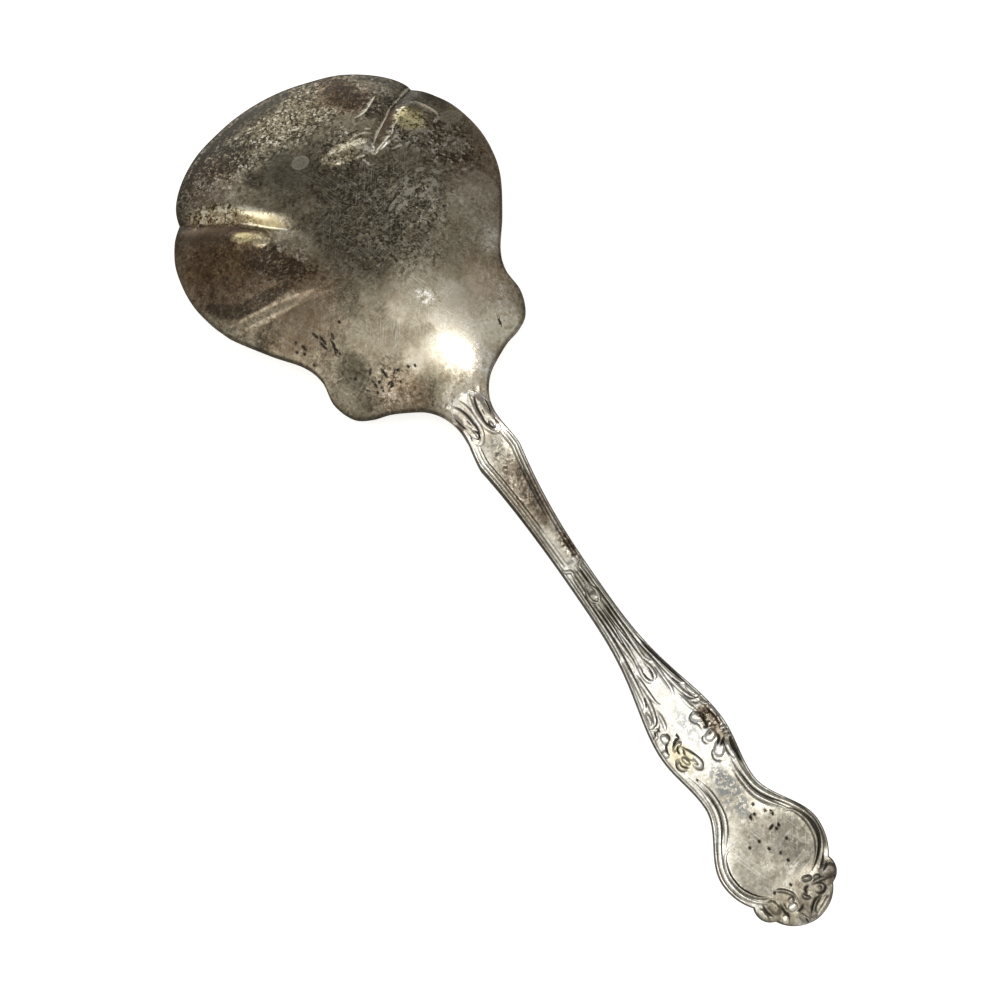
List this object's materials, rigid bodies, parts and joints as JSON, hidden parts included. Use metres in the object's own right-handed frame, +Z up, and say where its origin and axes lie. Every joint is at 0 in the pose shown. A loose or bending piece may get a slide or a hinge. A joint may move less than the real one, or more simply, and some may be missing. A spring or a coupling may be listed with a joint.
{
  "type": "waffle server",
  "caption": "Silver-plated waffle server with a broad fluted bowl and a slender ornamented handle, for lifting and serving flat foods.",
  "frame": {"origin": "bottom centre of the box round the server as it lies face down", "axes": "+X from the tip of the bowl to the end of the handle, +Z up out of the back, +Y to the right of the handle seen from the back with the bowl at the top"},
  "size_m": [0.235, 0.0826, 0.0149],
  "materials": {
    "bowl_plate": "tarnished silver plate, satin",
    "handle_plate": "worn silver plate with dark oxide in the recesses",
    "solder": "dull silver solder"
  },
  "bodies": {
    "root": {"bowl": "bowl_plate", "handle": "handle_plate", "solder_film": "solder"}
  },
  "joints": []
}
